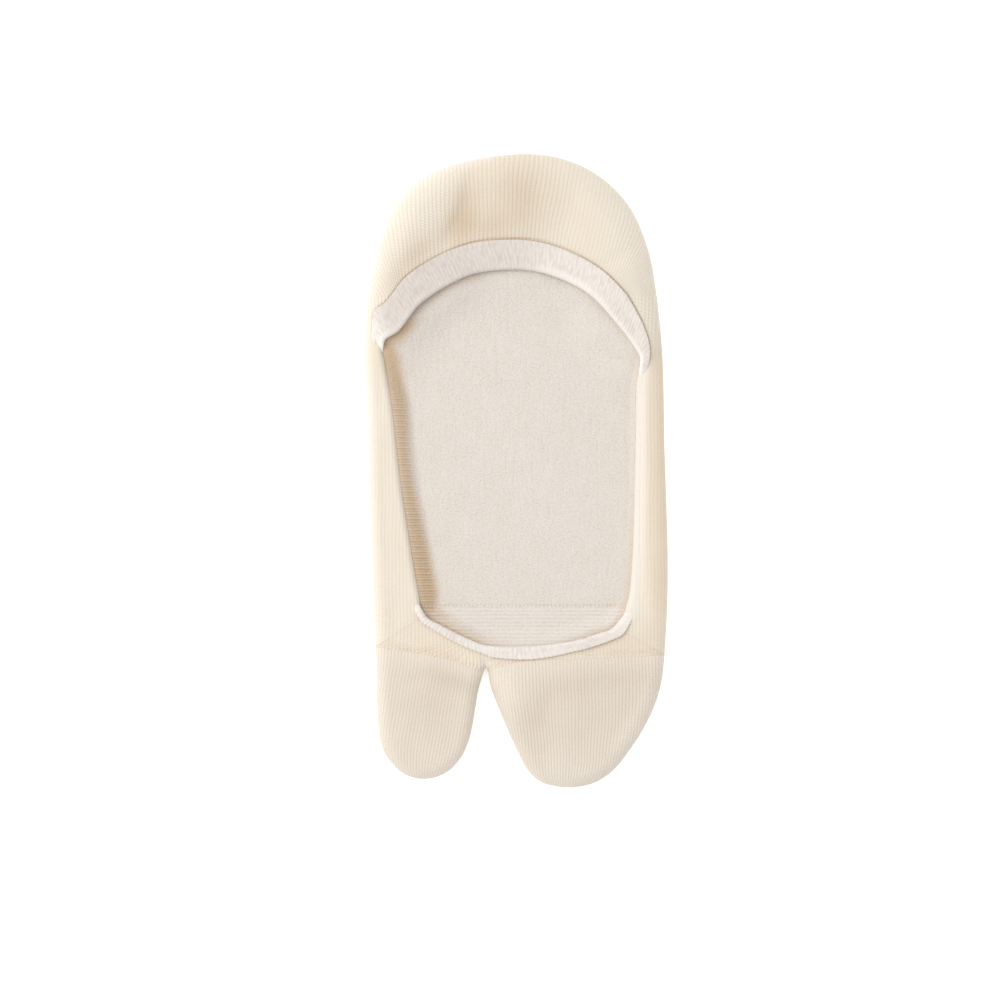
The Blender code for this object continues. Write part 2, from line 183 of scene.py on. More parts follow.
def wholeOutline():
    # one closed clockwise line: heel and sides, four toes, crotch, big toe
    side = edgeAt(np.linspace(leftCorner, count + rightCorner, 400))
    crotch = curveThrough(edgePoints[crotchRight:crotchLeft + 1], np.linspace(0, 2, 9))
    four = curveThrough(fourToesOutline, np.linspace(0, len(fourToesOutline) - 1, 200))
    big = curveThrough(bigToeOutline, np.linspace(0, len(bigToeOutline) - 1, 200))
    return np.vstack([side, four[1:], crotch[1:-1], big[::-1][:-1]])


outline = wholeOutline()


def distanceInside(plan, line):
    # Plan distance from each point to a closed clockwise line's nearest segment, positive inside it, a
    # few thousand points at a time. The side is the sign of the cross product with that segment.
    flat = plan.reshape(-1, 2)
    along = np.roll(line, -1, axis=0) - line
    squared = np.maximum((along**2).sum(-1), 1e-12)
    found = []
    for part in np.array_split(flat, max(1, len(flat) // 3000)):
        dx = part[:, None, 0] - line[None, :, 0]
        dy = part[:, None, 1] - line[None, :, 1]
        share = np.clip((dx * along[:, 0] + dy * along[:, 1]) / squared, 0, 1)
        far = (dx - share * along[:, 0])**2 + (dy - share * along[:, 1])**2
        near = far.argmin(axis=1)
        row = np.arange(len(part))
        turn = along[near, 0] * dy[row, near] - along[near, 1] * dx[row, near]
        found.append(np.sqrt(far[row, near]) * np.where(turn > 0, -1.0, 1.0))
    return np.concatenate(found).reshape(plan.shape[:-1])


def distanceToOutline(plan):
    # plan distance to the outline's nearest segment
    return np.abs(distanceInside(plan, outline))


def quarter(distance, reach):
    # height share of a quarter ellipse, upright at the outline and level at its reach
    return np.sqrt(1 - (1 - np.clip(distance / reach, 0, 1))**2)


def hollows(plan, rows):
    # sum of long Gaussian troughs
    total = np.zeros(plan.shape[:-1])
    for x, y, turn, length, width, depth in rows:
        angle = np.radians(turn)
        dx, dy = plan[..., 0] - x, plan[..., 1] - y
        along = (dx * np.cos(angle) + dy * np.sin(angle)) / length
        across = (dy * np.cos(angle) - dx * np.sin(angle)) / width
        total += depth * np.exp(-along**2 - across**2)
    return total


def upperHeight(plan, distance):
    # Height of the upper cloth this far in from the outline: a quarter ellipse up from the fold, then a
    # slow climb, with the side's values going over to the heel's. Two rims sink, and hollows fade out
    # down the fold.
    x, y = plan[..., 0], plan[..., 1]
    share = ease((y - cloth["heelFrom"]) / (cloth["heelTo"] - cloth["heelFrom"]))
    reach, top, climb = (low + (high - low) * share for low, high in zip(cloth["side"], cloth["heel"]))
    reach = reach + cloth["rightReach"] * (1 - share) * rising(x, 15, 20) * rising(y, -62, 14)
    past = np.maximum(distance - reach, 0)
    level = quarter(distance, reach)
    height = cloth["foldHeight"] + (top - cloth["foldHeight"]) * level
    height = height + climb * past**2 / (past + cloth["climbEase"])
    sunk = np.clip((distance - cloth["rimDropFrom"]) / cloth["rimDropOver"], 0, 1.2)
    height = height - cloth["rimDrop"] * share * sunk**1.6
    toRight = rising(x, 22, 12) * rising(y, -52, 14)
    height = height - cloth["rightDrop"] * (1 - share) * toRight * rising(distance, 4.8, 4.2)
    return height - (hollows(plan, dents) + hollows(plan, creases)) * level**2


def underHeight(distance):
    # the fold's underside, a quarter ellipse down from the fold to the floor
    return cloth["foldHeight"] * (1 - quarter(distance, cloth["underReach"]))


def lifted(plan, height):
    # plan points with a height as their z
    return np.concatenate([plan, height[..., None]], axis=-1)


def onUpper(stations, inwards):
    # point of the upper cloth this far in from the outline, along the line from outline to rim
    edge, rim = edgeAt(stations), rimAt(stations)
    length = np.linalg.norm(rim - edge, axis=-1)
    plan = edge + (rim - edge) * (inwards / length)[..., None]
    return lifted(plan, upperHeight(plan, distanceToOutline(plan)))


def curlShare(stations):
    # 1 where the rim rolls under, 0 where the edge is turned out
    share = np.ones_like(stations)
    for first, last in cloth["turnedOut"]:
        for turn in (-count, 0, count):
            middle, half = (first + last) / 2 + turn, (last - first) / 2
            share = np.minimum(share, ease((np.abs(stations - middle) - half) / cloth["curlFade"]))
    return share


def footPatch(stations, rowCounts):
    # Grid from the rim's curl, a part of a circle, over the upper cloth and round the fold to the underside,
    # one column for each station. Where the edge is turned out, the cloth ends inside its bend instead.
    curlRows, upperRows, foldRows, underRows = rowCounts
    edge, rim = edgeAt(stations), rimAt(stations)
    reach = np.linalg.norm(rim - edge, axis=1)
    inward = (rim - edge) / reach[:, None]
    curl = curlShare(stations)
    cut = (1 - curl) * cloth["cutBack"]
    radius = cloth["curlRadius"]
    turnStart = reach - radius - 0.1
    shoulder = onUpper(stations, turnStart)
    share = (1 - np.arange(curlRows) / curlRows)[:, None]
    angle = np.radians(90 - (90 + cloth["curlUnder"]) * share)
    curled = np.repeat(shoulder[None], curlRows, axis=0)
    curled[..., :2] += inward * (radius * np.cos(angle))[..., None]
    curled[..., 2] += radius * (np.sin(angle) - 1)
    tiled = np.tile(stations, (curlRows, 1))
    level = onUpper(tiled, turnStart + (reach - cut - turnStart) * share)
    top = level + (curled - level) * curl[None, :, None]
    bend = np.minimum(cloth["side"][0] + 0.8, 0.75 * turnStart)
    middle = turnStart + (bend - turnStart) * (np.arange(upperRows) / upperRows)[:, None]
    angle = np.radians(90 * (1 - np.arange(foldRows + 1) / foldRows))[:, None]
    inwards = np.vstack([middle, bend * (1 - np.cos(angle))])
    body = onUpper(np.tile(stations, (len(inwards), 1)), inwards)
    rows = [top, body]
    if underRows:
        body[-1, :, 2] = cloth["foldHeight"]
        angle = np.radians(90 * np.arange(1, underRows + 1) / underRows)[:, None]
        inwards = (cloth["underReach"] + cloth["underOverlap"]) * (1 - np.cos(angle))
        plan = edge + inward * inwards[..., None]
        rows.append(lifted(plan, underHeight(distanceToOutline(plan))))
    return np.concatenate(rows)


def arcAlong(grid, axis):
    # arc length along one axis of a grid of points: the running sum of its steps, from zero
    steps = np.linalg.norm(np.diff(grid, axis=axis), axis=-1)
    first = np.zeros_like(np.take(steps, [0], axis=axis))
    return np.cumsum(np.concatenate([first, steps], axis=axis), axis=axis)


def gridNormals(grid, closed=False, flip=False):
    # the way the grid's faces look: cross product of its two directions, by central differences
    if closed:
        across = np.roll(grid, -1, axis=1) - np.roll(grid, 1, axis=1)
    else:
        across = np.gradient(grid, axis=1)
    normal = np.cross(across, np.gradient(grid, axis=0)) * (-1.0 if flip else 1.0)
    return normal / np.maximum(np.linalg.norm(normal, axis=-1, keepdims=True), 1e-9)


def closeRing(grid):
    # repeats the first column at the end
    return np.concatenate([grid, grid[:, :1]], axis=1)


def gridFaces(rows, columns, first=0, flip=False):
    # quads between neighbouring rows and columns, as whole arrays of point numbers
    row, column = np.meshgrid(np.arange(rows - 1), np.arange(columns - 1), indexing="ij")
    a = first + row * columns + column
    quads = np.stack([a, a + 1, a + 1 + columns, a + columns], axis=-1).reshape(-1, 4)
    return quads[:, ::-1] if flip else quads


def clothShell(grid, outward, closed=False, pole=False, flip=False):
    # The outer skin and an inner skin one wall behind it, with the cut edges joined. A closed grid
    # repeats its first column at its end, and a pole is a last row that is one point.
    rows, columns = grid.shape[:2]
    total = rows * columns
    number = np.arange(total).reshape(rows, columns)
    points = np.concatenate([grid.reshape(-1, 3), (grid - outward * cloth["wall"]).reshape(-1, 3)])
    quads = [gridFaces(rows, columns, 0, flip=flip), gridFaces(rows, columns, total, flip=not flip)]
    borders = [(number[0], True)]
    if not pole:
        borders.append((number[-1], False))
    if not closed:
        borders += [(number[:, -1], True), (number[:, 0], False)]
    for line, backwards in borders:
        strip = np.stack([line[:-1], line[1:], line[1:] + total, line[:-1] + total], axis=1)
        quads.append(strip[:, [1, 0, 3, 2]] if backwards != flip else strip)
    return points, np.vstack(quads)


def makePiece(name, points, quads, stitches, material, shade=0.0, plain=0.0, paintedHighlight=0.0):
    # A mesh from arrays of points, quads and knit coordinates (wale number, course number), with three
    # painted values: painted shade for hollows that stay dim, plain for rows without loops, and painted
    # highlight for edges and swells that the light falls on. What is given for one skin is repeated for
    # the other, and doubled points are merged.
    mesh = bpy.data.meshes.new(name)
    mesh.vertices.add(len(points))
    mesh.vertices.foreach_set("co", (points * mm).ravel())
    mesh.loops.add(quads.size)
    mesh.loops.foreach_set("vertex_index", quads.ravel().astype(np.int32))
    mesh.polygons.add(len(quads))
    mesh.polygons.foreach_set("loop_start", np.arange(0, quads.size, 4, dtype=np.int32))
    knitMap = mesh.uv_layers.new(name="knit")
    knitMap.data.foreach_set("uv", np.resize(stitches, (len(points), 2))[quads.ravel()].ravel())
    for key, values in (("shade", shade), ("plain", plain), ("paintedHighlight", paintedHighlight)):
        attribute = mesh.attributes.new(key, "FLOAT", "POINT")
        attribute.data.foreach_set("value", np.resize(values, len(points)).astype(np.float32))
    mesh.update(calc_edges=True)
    work = bmesh.new()
    work.from_mesh(mesh)
    bmesh.ops.remove_doubles(work, verts=work.verts, dist=2e-7)  # metres
    work.to_mesh(mesh)
    work.free()
    mesh.materials.append(material)
    mesh.shade_smooth()
    mesh.set_sharp_from_angle(angle=np.radians(55))
    piece = bpy.data.objects.new(name, mesh)
    bpy.context.collection.objects.link(piece)
    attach(piece, "root")
    areas = np.empty(len(mesh.polygons))
    mesh.polygons.foreach_get("area", areas)
    print("made", name, len(areas), "faces,", round(areas.sum() * 1e6), "square mm")
    return piece


def hexColour(text):
    # sRGB hex to linear: a short straight run, then a power of 2.4
    parts = np.array([int(text[i:i + 2], 16) for i in (1, 3, 5)]) / 255
    linear = np.where(parts <= 0.04045, parts / 12.92, ((parts + 0.055) / 1.055)**2.4)
    return (*linear.tolist(), 1.0)


def addNode(tree, kind, inputs=None, give=0, **settings):
    # One node with its settings, which gives back one of its outputs. An input takes a plain value or
    # another node's output. A Mix of colours has them as inputs 6 and 7 and output 2.
    made = tree.nodes.new("ShaderNode" + kind)
    for key, value in settings.items():
        setattr(made, key, value)
    for key, value in (inputs or {}).items():
        if isinstance(value, bpy.types.NodeSocket):
            tree.links.new(value, made.inputs[key])
        else:
            made.inputs[key].default_value = value
    return made.outputs[give]


def startMaterial(name, roughness, sheen):
    # cotton and paper alike: no metal, the usual index of refraction, and fibre ends' sheen for cotton
    made = bpy.data.materials.new(name)
    made.use_nodes = True
    shader = made.node_tree.nodes["Principled BSDF"]
    shader.inputs["Roughness"].default_value = roughness
    shader.inputs["IOR"].default_value = 1.45
    shader.inputs["Sheen Weight"].default_value = sheen
    shader.inputs["Sheen Roughness"].default_value = 0.6
    return made, made.node_tree, shader


def sineOf(tree, source, turns=1.0):
    # sine of a number of turns
    angle = addNode(tree, "Math", {0: source, 1: 2 * np.pi * turns}, operation="MULTIPLY")
    return addNode(tree, "Math", {0: angle}, operation="SINE")


def finishKnit(tree, shader, look, height, place, rows=None):
    # Yarn fuzz, uneven dye, painted light and painted shade over a height: the stitches' valleys get the
    # valley colour as painted shade and their crests the crest colour as painted light, with the uneven dye
    # moving both. The painted highlight and the painted shade go over that. Rows, if given, strengthens and
    # weakens the painted shade.
    fibre = addNode(tree, "TexNoise", {"Vector": place, "Scale": look["fibreScale"], "Detail": 3.0})
    height = addNode(tree, "Math", {0: fibre, 1: look["fuzz"], 2: height}, operation="MULTIPLY_ADD")
    patch = addNode(tree, "TexNoise", {"Vector": place, "Scale": look["patchScale"], "Detail": 3.0,
                                       "Roughness": 0.6})
    tone = addNode(tree, "Math", {0: patch, 1: look["patchy"], 2: height}, operation="MULTIPLY_ADD")
    ramp = addNode(tree, "MapRange", {0: tone, 1: look["toneLow"], 2: look["toneHigh"]}, clamp=True)
    paintedHighlight = addNode(tree, "Attribute", give="Fac", attribute_name="paintedHighlight")
    shade = addNode(tree, "Attribute", give="Fac", attribute_name="shade")
    if rows is not None:
        shade = addNode(tree, "Math", {0: shade, 1: rows}, operation="MULTIPLY")
    colour = hexColour(look["valley"])
    layers = ((ramp, "crest", "MIX"), (paintedHighlight, "paintedHighlight", "MIX"), (shade, "shadeTint", "MULTIPLY"))
    for share, tint, blend in layers:
        colour = addNode(tree, "Mix", {0: share, 6: colour, 7: hexColour(look[tint])}, give=2,
                         data_type="RGBA", blend_type=blend)
    relief = look["relief"] * mm
    bump = addNode(tree, "Bump", {"Height": height, "Strength": look["bump"], "Distance": relief})
    tree.links.new(colour, shader.inputs["Base Color"])
    tree.links.new(bump, shader.inputs["Normal"])


def plainKnit(name, look):
    # Plain knit in combed cotton. Its V stitches stand in wales: a wale is half a sine across with the
    # two legs' own sine on it, and the yarns are cut by a saw of the course number that slants outwards.
    made, tree, shader = startMaterial(name, look["roughness"], look["sheen"])
    stitch = addNode(tree, "UVMap", uv_map="knit")
    place = addNode(tree, "TexCoord", give="Object")
    wobble = addNode(tree, "TexNoise", {"Vector": place, "Scale": look["wanderScale"], "Detail": 2.0})
    number = addNode(tree, "SeparateXYZ", {0: stitch})
    wale = addNode(tree, "Math", {0: wobble, 1: look["wander"], 2: number}, operation="MULTIPLY_ADD")
    across = addNode(tree, "Math", {0: wale, 1: 0.5}, operation="PINGPONG")
    leg = addNode(tree, "Math", {0: sineOf(tree, across), 1: look["legs"], 2: sineOf(tree, across, 0.5)},
                  operation="MULTIPLY_ADD")
    course = addNode(tree, "SeparateXYZ", {0: stitch}, give=1)
    slant = addNode(tree, "Math", {0: across, 1: look["slant"], 2: course}, operation="MULTIPLY_ADD")
    yarn = addNode(tree, "Math", {0: slant, 1: 0.5}, operation="PINGPONG")
    height = addNode(tree, "Math", {0: yarn, 1: look["yarn"], 2: leg}, operation="MULTIPLY_ADD")
    plain = addNode(tree, "Attribute", give="Fac", attribute_name="plain")
    height = addNode(tree, "Mix", {0: plain, 2: height, 3: look["calmHeight"]}, data_type="FLOAT")
    finishKnit(tree, shader, look, height, place)
    return made


def terryKnit(name, look):
    # The wrong side of a plated knit: short loops stand in loose rows, mottled and matt, and where it is
    # plain the purl rows lie straight across, every second one a little deeper.
    made, tree, shader = startMaterial(name, look["roughness"], look["sheen"])
    stitch = addNode(tree, "UVMap", uv_map="knit")
    place = addNode(tree, "TexCoord", give="Object")
    wobble = addNode(tree, "TexNoise", {"Vector": place, "Scale": look["wanderScale"], "Detail": 2.0}, give=1)
    moved = addNode(tree, "VectorMath", {0: wobble, 1: (look["wander"],) * 3, 2: stitch},
                    operation="MULTIPLY_ADD")
    moved = addNode(tree, "VectorMath", {0: moved, 1: (1.0, look["stretch"], 1.0)}, operation="MULTIPLY")
    loops = addNode(tree, "TexVoronoi", {"Vector": moved, "Scale": look["loopScale"], "Randomness": 0.85},
                    voronoi_dimensions="2D", feature="SMOOTH_F1")
    tuft = addNode(tree, "Math", {0: loops, 1: -1.3, 2: 1.0}, operation="MULTIPLY_ADD")
    course = addNode(tree, "SeparateXYZ", {0: stitch}, give=1)
    drift = addNode(tree, "SeparateXYZ", {0: wobble})
    course = addNode(tree, "Math", {0: drift, 1: 0.5, 2: course}, operation="MULTIPLY_ADD")
    sine = sineOf(tree, course)
    level = addNode(tree, "Math", {0: sine, 1: 0.34, 2: 0.3}, operation="MULTIPLY_ADD")
    level = addNode(tree, "Math", {0: tuft, 1: 0.9, 2: level}, operation="MULTIPLY_ADD")
    plain = addNode(tree, "Attribute", give="Fac", attribute_name="plain")
    height = addNode(tree, "Mix", {0: plain, 2: tuft, 3: level}, data_type="FLOAT")
    pair = addNode(tree, "Math", {0: sineOf(tree, course, 0.5), 1: 0.5, 2: sine}, operation="MULTIPLY_ADD")
    depth = addNode(tree, "Math", {0: plain, 1: -0.22}, operation="MULTIPLY")
    rows = addNode(tree, "Math", {0: pair, 1: depth, 2: 1.0}, operation="MULTIPLY_ADD")
    finishKnit(tree, shader, look, height, place, rows)
    return made


# Combed cotton, plain knitted: matt and warm, its wales fine lines. A scale is features a metre.
bodyKnitLook = {
    "crest": "#e9e2d7",  # yarn that stands up, in painted light, and the lighter end of the uneven dye
    "valley": "#d3c6b1",  # painted shade between the stitches, and the darker end of the uneven dye
    "shadeTint": "#e4b34f",  # painted shade in hollows, warm like light that has come through the cloth
    "paintedHighlight": "#ebe5de",  # painted highlight, for edges and swells that the light falls on
    "toneLow": 0.0,  # heights that read as valley and as crest
    "toneHigh": 2.8,
    "legs": 0.3,  # height of a stitch's two legs, and of its yarns, where a wale's is 1
    "yarn": 2.2,
    "slant": 1.3,  # courses that a yarn climbs for each wale
    "calmHeight": 0.35,  # what stretched cloth keeps of its stitches
    "patchy": 0.6,
    "patchScale": 75.0,  # uneven dye in patches of 13 mm
    "fuzz": 0.5,
    "fibreScale": 2600.0,  # tufts of 0.4 mm, coarser than real fibres so that they show
    "wander": 0.2,  # wales that the yarn wanders by
    "wanderScale": 420.0,  # every 2.4 mm
    "bump": 0.5,
    "relief": 0.16,  # mm
    "roughness": 0.95,
    "sheen": 0.1,
}
# The toes' cloth is worked tighter, so its valleys are deeper and their painted shade darker.
toeKnitLook = dict(bodyKnitLook, crest="#e8e0d6", valley="#c8baa7", shadeTint="#b5986c", paintedHighlight="#ece2d5",
                   bump=0.6)
# Cotton plated over elastic, seen from the wrong side: greyer, mottled by loops of about half a stitch.
insoleLook = {
    "crest": "#dcd6d0",
    "valley": "#c8beb3",
    "shadeTint": "#d3a752",
    "paintedHighlight": "#e4ddd5",
    "toneLow": 0.1,
    "toneHigh": 1.5,
    "stretch": 1.0,  # a loop's width for its length
    "loopScale": 1.9,  # loops for each stitch
    "patchy": 0.6,
    "patchScale": 160.0,  # patches of 6 mm
    "fuzz": 0.5,
    "fibreScale": 2600.0,
    "wander": 0.5,
    "wanderScale": 500.0,  # every 2 mm
    "bump": 0.5,
    "relief": 0.2,
    "roughness": 0.95,
    "sheen": 0.08,
}
# The welt's inner face has longer, flatter loops and is the palest cloth on the sock.
weltLook = dict(insoleLook, crest="#ebe5e0", valley="#d3cac2", shadeTint="#a49a94", paintedHighlight="#f8f3ee",
                stretch=0.3, loopScale=1.4, wander=0.45, bump=0.4)

bodyKnit = plainKnit("combedCottonPlainKnit", bodyKnitLook)
cupKnit = plainKnit("heelCupPlainKnit", dict(bodyKnitLook, shadeTint="#bb9b68"))
toeKnit = plainKnit("toePlainKnit", toeKnitLook)
insoleKnit = terryKnit("platedInsoleLoops", insoleLook)
weltKnit = terryKnit("elasticWeltWrongSide", weltLook)
print("materials ready")


# What the two turned edges share
welts = {
    "gap": 0.3,  # over the cloth that an edge lies on
    "bend": 1.35,  # outer radius of the bend over the rim
    "leastTurn": 0.75,  # and what always shows beyond it
    "freeEdge": 0.38,  # radius of the free edge
    "foldWidth": 1.7,  # width of the inner fold's painted highlight
    "endSink": 2.3,  # how far an end sinks, and shifts towards the outline
    "endShift": 1.2,
    "ribPitch": 1.27,
    "walePitch": 1.15,
    "unevenness": 0.05,
    "grooveDepth": 0.12,  # of the cloth pressed in ahead of the free edge
}
# Tables go by station, except "over", how far the inner edge hangs over the mouth, which goes by x.
heelEdge = {
    "node": "heel_welt",
    "span": (27.25, 40.25),
    "columns": 760,
    "ends": (5.0, 12.0),  # lengths over which the two ends sink into the rim
    "ribHeight": 0.08,
    "width": (
        (27.2, 2.3), (27.6, 3.4), (28.0, 5.0), (28.3, 7.6), (28.6, 8.8), (29, 8.8), (30, 8.7), (31, 8.7),
        (32, 8.8), (33, 8.5), (34, 8.2), (35, 7.8), (36, 7.9), (37, 8.6), (38, 7.2), (39, 3.9), (39.5, 2.9),
        (40.3, 1.8),
    ),
    "over": ((-37.0, 0.9), (-27.0, 1.0), (-15.0, 0.65), (1.0, 1.0), (14.0, 1.2), (26.0, 0.8), (34.0, 0.3)),
    "groove": ((27.2, 1.0), (40.3, 1.0)),  # its strength, of the groove pressed into the cloth and of the painted shade in it
    "grooveAt": (0.2, 0.38),  # its distance beyond the free edge, and its width
    # painted shade along the band, strongest at the left, where it turns from the light
    "dim": (
        (27.2, 0.0), (28.1, 0.1), (28.8, 0.30), (31, 0.34), (33, 0.26), (34.5, 0.14), (36, 0.09), (37, 0.12),
        (38.5, 0.10), (39.6, 0.0),
    ),
    # painted highlight on the inner fold, where the light falls on it
    "foldHighlight": ((27.2, 0.9), (28.4, 0.6), (29.2, 0.5), (32.5, 0.1), (34.0, 0.4), (38.0, 0.65), (40.0, 1.0)),
    "endHighlight": (0.0, 17.0, 10.0),  # painted highlight at the two ends, to match the rolled rim they meet, and over what length from each
}
frontEdge = {
    "node": "front_welt",
    "span": (10.9, 23.0),
    "columns": 460,
    "ends": (10.0, 9.0),
    "ribHeight": 0.128,
    "width": (
        (10.8, 2.3), (12.0, 3.7), (13, 4.4), (14, 4.7), (15, 4.5), (16, 4.0), (17, 3.7), (18, 3.2), (19, 2.9),
        (20, 2.7), (21, 2.5), (22, 2.2), (22.8, 1.9),
    ),
    "over": ((0.0, 0.0),),
    "groove": ((10.8, 0.1), (12.2, 0.2), (13.4, 0.36), (17.5, 0.38), (19.5, 0.15), (22.8, 0.06)),
    "grooveAt": (0.3, 1.15),
    # painted shade along the band
    "dim": ((12, 0.06), (20, 0.06), (22, 0.1)),
    "foldHighlight": ((0.0, 0.0),),
    "endHighlight": (1.0, 17.0, 10.0),
}


def widthAt(stations, edge):
    # width of a turned edge, none beyond its table
    return fromTable(stations, edge["width"], left=0.0, right=0.0)


def weltAhead(stations, away):
    # How close a point of the cloth is to a turned edge's free edge, for stations and distances from the
    # rim: a bell that is 1 right at it, as strong as the groove is there.
    close = np.zeros_like(away)
    for edge in (heelEdge, frontEdge):
        beyond, spread = edge["grooveAt"]
        first, last = edge["width"][0][0], edge["width"][-1][0]
        for turn in (0, count):
            here = stations + turn
            inRun = rising(here, first + 0.3, 0.6) * falling(here, last - 0.6, 0.8)
            ahead = bell(away - widthAt(here, edge), beyond, spread)
            close = np.maximum(close, fromTable(here, edge["groove"]) * ahead * inRun)
    return close


# The foot's upper cloth: a cup at the heel, two sides, and the instep in front of the mouth
foot = {
    "walePitch": 1.15,  # sides and front
    "cupPitch": 1.3,
    "coursePitch": 0.86,
    "cupRib": 0.045,  # heights of the ribs that the wales stand out by
    "sideRib": 0.02,
    "sideCalm": 0.3,  # share of the stitches' relief and tone that the stretched sides lose
    "waver": 0.14,  # wales that the lines drift by
    "grooveShade": 0.42,
    # painted highlight on the left outer edge and the right rolled rim, where the light falls
    "outlineHighlight": 0.45,
    "rollHighlight": 0.8,
    "cupColumns": 560,
    "cupRows": (6, 46, 14, 9),  # in the rim's curl, the upper cloth, the fold and the underside
    "sideColumns": 110,
    "sideRows": (22, 26, 18, 14),
    "frontColumns": 380,
    "frontRows": (10, 26, 6, 0),
    "cupEnds": 40.0,  # columns over which the cup's ribs fade in
    "cupFirst": 27.6,  # the cup's stations
    "cupLast": 39.4,
}


def ribbed(grid, wale, height):
    # moves the cloth out by a cosine of the wale number
    normal = gridNormals(grid)
    return grid + normal * (height * cosine(wale - 0.5))[..., None], normal


def tinted(plan, rows):
    # strength of painted shade, and of painted highlight, from the same Gaussian troughs as the creases with
    # a strength for a depth
    return np.clip(hollows(plan, rows), 0.0, 1.0)


def seamY(x):
    # y of the toe seam, and of the crotch between its two halves
    right = edgeAt(np.linspace(rightCorner, crotchRight, 60))
    left = edgeAt(np.linspace(crotchLeft, leftCorner, 60))
    return fromTable(x, np.vstack([right, left])[::-1])


def spacedStations(first, last, number):
    # stations at even steps along the line halfway between rim and outline
    fine = np.linspace(first, last, 2000)
    middle = 0.5 * (edgeAt(fine) + rimAt(fine))
    run = arcAlong(middle, 0)
    return np.interp(np.linspace(0, run[-1], number), run, fine)


def wavering(x, y):
    # wales that drift a little as they run
    return np.sin(y / 6.3 + x / 11.0) + 0.6 * np.sin(y / 2.9 + x / 4.7 + 1.0)


# How the heel cup's wales lean: where one crosses y = 60, and its sideways run for each millimetre up
waleLeans = (
    (-50.0, -0.70), (-41.0, -0.55), (-36.5, -0.14), (-30.0, -0.04), (-15.0, -0.04), (-4.0, 0.03),
    (7.0, 0.15), (18.0, 0.20), (27.0, 0.25), (33.0, 0.48), (39.0, 0.95), (50.0, 1.20),
)


def cupWales(plan):
    # Wale numbers on the heel cup. A point's wale is found by halving steps on x = start + above *
    # lean(start), and more wales start where they spread further up.
    starts = np.linspace(-58, 58, 1161)
    leans = fromTable(starts, waleLeans)
    leans = np.convolve(np.pad(leans, 20, mode="edge"), np.ones(41) / 41, "valid")
    above = np.clip(plan[..., 1] - 60.0, -5.0, 42.0)
    low, high = np.full(above.shape, -58.0), np.full(above.shape, 58.0)
    for _ in range(26):
        middle = (low + high) / 2
        beyond = middle + above * np.interp(middle, starts, leans) > plan[..., 0]
        low, high = np.where(beyond, low, middle), np.where(beyond, middle, high)
    spread = 1 + 0.5 * np.sqrt(np.maximum(40.0**2 - (starts * 0.88)**2, 0)) * np.gradient(leans, starts)
    number = np.cumsum(spread) * (starts[1] - starts[0]) / foot["cupPitch"]
    return np.interp(low, starts, number)


def patchStitches(grid, rowCounts, isCup):
    # Wale and course numbers of a foot patch. On the heel cup the wales lean out. Elsewhere they run
    # along the foot, counted by x with the extra length of the fold's slope added.
    rows, columns = grid.shape[:2]
    downColumn = arcAlong(grid, 0)
    alongRow = arcAlong(grid, 1)
    start, edgeRow = rowCounts[0], sum(rowCounts[:3])
    flat = grid.copy()
    flat[..., 2] = 0
    slope = downColumn - arcAlong(flat, 0)
    slope = slope - slope[start]
    if isCup:
        sideways = grid[edgeRow, :, :2] - grid[start, :, :2]
        sideways = sideways[:, 0] / np.linalg.norm(sideways, axis=1)
        wale = cupWales(grid[..., :2]) + slope * sideways * np.abs(sideways) / foot["cupPitch"]
        under = downColumn[edgeRow:] - downColumn[edgeRow]
        wale[edgeRow:] = wale[edgeRow] + under * sideways / foot["cupPitch"]
        wale = wale + foot["waver"] * wavering(grid[..., 0] * 2, grid[..., 1])
        return wale, downColumn / foot["coursePitch"]
    width = np.abs(grid[..., 0]) + slope
    width[edgeRow:] = width[edgeRow] + downColumn[edgeRow:] - downColumn[edgeRow]
    width[:start] = width[start] - (downColumn[start] - downColumn[:start])
    wale = width / foot["walePitch"] + foot["waver"] * wavering(grid[..., 0], grid[..., 1])
    return wale, np.tile(alongRow[edgeRow], (rows, 1)) / foot["coursePitch"]


# Painted shade on soft hollows and on slopes that turn from the light, given as the dents are, with a
# strength for the depth
dimPlaces = (
    (1.0, 86.0, 90.0, 15.0, 12.0, 0.32), (-17.2, 80.5, 76.0, 12.0, 5.0, 0.36),
    (-31.0, 68.5, 42.0, 9.0, 4.5, 0.23), (-37.5, 60.5, 50.0, 9.0, 3.4, 0.14),
    (-11.5, 76.5, 0.0, 9.0, 5.0, 0.18), (45.8, 5.0, 90.0, 45.0, 5.2, 0.20),
    (44.8, -40.0, 95.0, 16.0, 4.0, 0.09), (-36.0, -50.0, 0.0, 12.0, 7.0, 0.07),
    (34.0, -55.0, 0.0, 15.0, 5.0, 0.13), (-24.0, -58.0, 160.0, 9.0, 4.0, 0.18),
)


# The linked toe seam: uneven loops either side of a row of small holes. A row is its distance behind the
# seam, its width and its height.
seam = {
    "pitch": 1.1,
    "holes": (0.8, 0.4, 0.3),
    "holeShade": 0.65,
    "loops": (1.7, 0.5, 0.28),
    "edgeLoops": (0.1, 0.4, 0.7),  # the height is a share of the other loops'
    "pocketLoops": (0.8, 0.5, 0.16),
}


